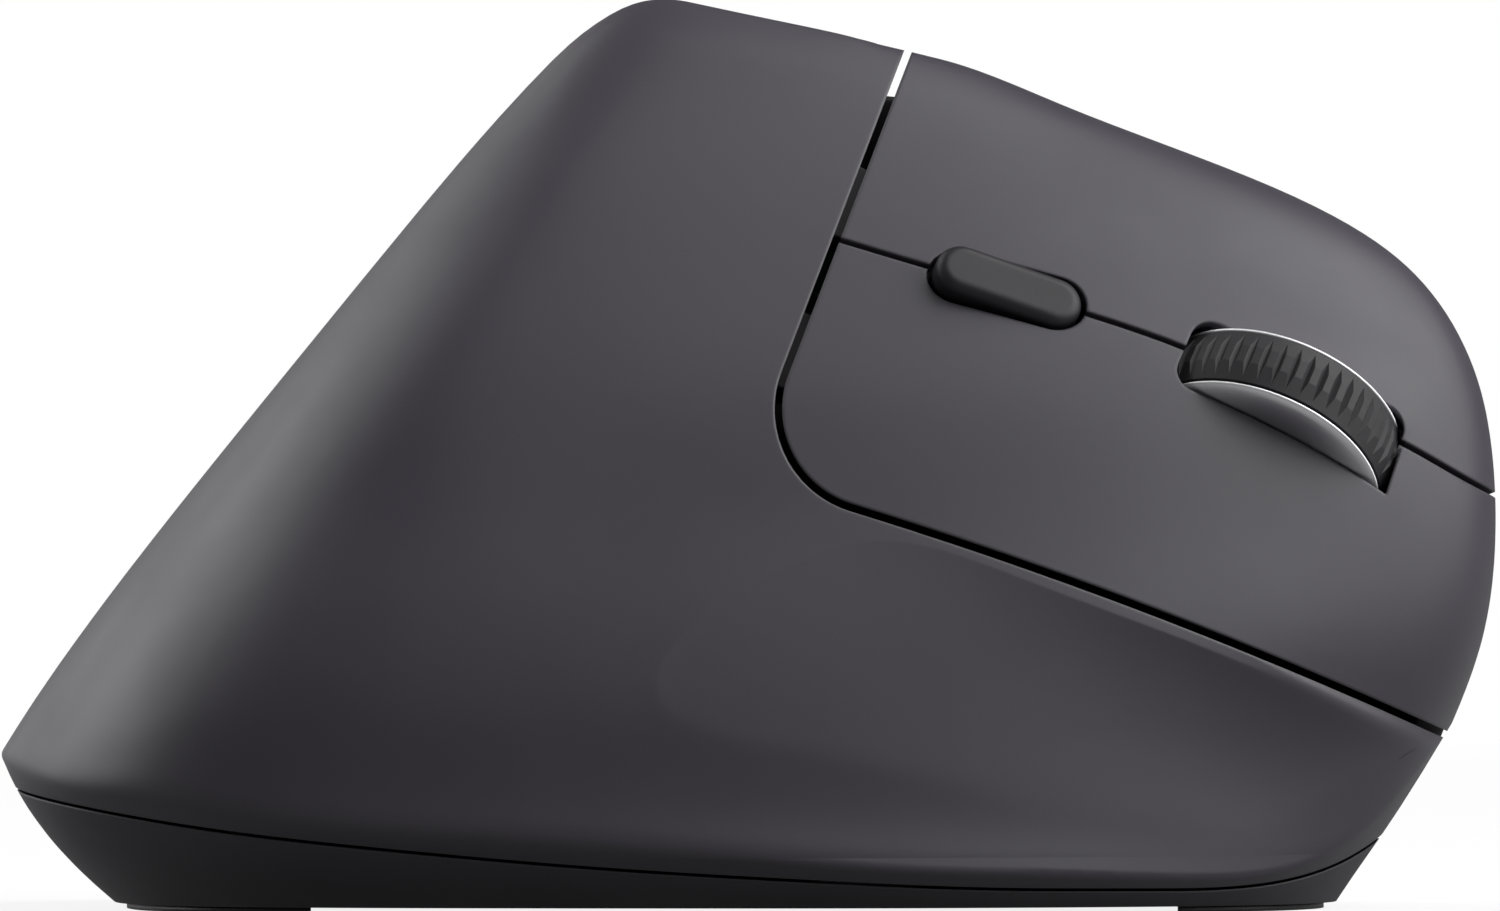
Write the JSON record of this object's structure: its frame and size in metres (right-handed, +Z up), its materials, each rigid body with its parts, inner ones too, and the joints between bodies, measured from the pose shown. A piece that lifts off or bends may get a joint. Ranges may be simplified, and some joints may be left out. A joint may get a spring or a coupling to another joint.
{
  "type": "vertical ergonomic mouse",
  "caption": "Upright handshake-grip computer mouse with a tall curved palm ridge, thumb scoop, split main buttons, ribbed scroll wheel, mode key, side keys and a skirted base.",
  "frame": {"origin": "middle of the mouse's footprint, on the surface it stands on", "axes": "+X toward the nose (the scroll wheel end), +Y toward the thumb side, +Z up"},
  "size_m": [0.118, 0.0742, 0.0718],
  "materials": {
    "button_plastic": "fine moulded texture, satin",
    "shell_plastic": "fine moulded texture, matt",
    "thumb_plastic": "soft matt moulded texture",
    "base_plastic": "fine spark texture, matt",
    "tyre_rubber": "moulded ribbed rubber",
    "wheel_nylon": "moulded, satin",
    "bright_rim": "plated and polished",
    "key_plastic": "moulded, satin",
    "inner_plastic": "moulded",
    "steel": "drawn steel",
    "screw_steel": "zinc plated",
    "circuit_board": "glass epoxy with solder mask",
    "switch_plastic": "moulded",
    "chip_plastic": "moulded epoxy",
    "lens_clear": "clear moulded",
    "cell_can": "sleeved can",
    "contact_metal": "nickel plated",
    "glide_film": "smooth low friction film",
    "header_plastic": "moulded nylon"
  },
  "bodies": {
    "housing": {"base_shell": "base_plastic", "outer_shell": "shell_plastic", "thumb_shell": "thumb_plastic", "inner_frame": "inner_plastic", "button_hinge_pin": "steel", "button_board": "circuit_board", "mode_button_holder": "inner_plastic", "mode_switch": "switch_plastic", "wheel_switch": "switch_plastic", "left_switch": "switch_plastic", "right_switch": "switch_plastic", "side_board": "circuit_board", "side_switches": "switch_plastic", "main_board": "circuit_board", "optical_sensor": "chip_plastic", "sensor_lens": "lens_clear", "controller_chip": "chip_plastic", "cable_header": "header_plastic", "power_switch_body": "switch_plastic", "battery_cell": "cell_can", "battery_plate_contact": "contact_metal", "battery_spring_contact": "contact_metal", "rear_glide": "glide_film", "front_glide": "glide_film", "housing_screws": "screw_steel", "board_screws": "screw_steel"},
    "left_click": {"left_click_button": "button_plastic"},
    "right_click": {"right_click_button": "button_plastic"},
    "mode_key": {"mode_button": "key_plastic"},
    "carriage": {"wheel_carriage": "inner_plastic", "wheel_encoder": "switch_plastic"},
    "wheel": {"wheel_tyre": "tyre_rubber", "wheel_core": "wheel_nylon", "wheel_rim_upper": "bright_rim", "wheel_rim_lower": "bright_rim", "wheel_axle": "steel"},
    "back_key": {"back_button": "key_plastic"},
    "forward_key": {"forward_button": "key_plastic"},
    "power_key": {"power_slider": "key_plastic"},
    "door": {"battery_door": "base_plastic"},
    "receiver": {"usb_receiver": "base_plastic"}
  },
  "joints": [
    {"name": "left_click_press", "type": "hinge", "parent": "housing", "child": "left_click", "pos_m": [0.0009, -0.0108, 0.05036], "axis": [0.329, 0.559, 0.7611], "range_deg": [0, 0.55], "stiffness_Nm_per_rad": 2, "springref_deg": -0.29},
    {"name": "right_click_press", "type": "hinge", "parent": "housing", "child": "right_click", "pos_m": [0.0009, -0.0108, 0.05036], "axis": [0.329, 0.559, 0.7611], "range_deg": [0, 0.55], "stiffness_Nm_per_rad": 2, "springref_deg": -0.29},
    {"name": "mode_press", "type": "slide", "parent": "housing", "child": "mode_key", "axis": [-0.231, 0.8291, -0.5091], "range_m": [0, 0.0004], "stiffness_N_per_m": 1200, "springref_m": -0.0003},
    {"name": "wheel_press", "type": "slide", "parent": "housing", "child": "carriage", "axis": [-0.231, 0.8291, -0.5091], "range_m": [0, 0.0004], "stiffness_N_per_m": 2500, "springref_m": -0.0003},
    {"name": "wheel_roll", "type": "hinge", "parent": "carriage", "child": "wheel", "pos_m": [0.04099, -0.01109, 0.03719], "axis": [0.329, 0.559, 0.7611], "continuous": true},
    {"name": "back_press", "type": "slide", "parent": "housing", "child": "back_key", "axis": [0, -1, 0], "range_m": [0, 0.0004], "stiffness_N_per_m": 1200, "springref_m": -0.0003},
    {"name": "forward_press", "type": "slide", "parent": "housing", "child": "forward_key", "axis": [0, -1, 0], "range_m": [0, 0.0004], "stiffness_N_per_m": 1200, "springref_m": -0.0003},
    {"name": "power_slide", "type": "slide", "parent": "housing", "child": "power_key", "axis": [1, 0, 0], "range_m": [0, 0.003]},
    {"name": "door_lift", "type": "slide", "parent": "housing", "child": "door", "axis": [0, 0, -1], "range_m": [0, 0.02]},
    {"name": "receiver_pull", "type": "slide", "parent": "housing", "child": "receiver", "axis": [0, 0, -1], "range_m": [0, 0.02]}
  ]
}
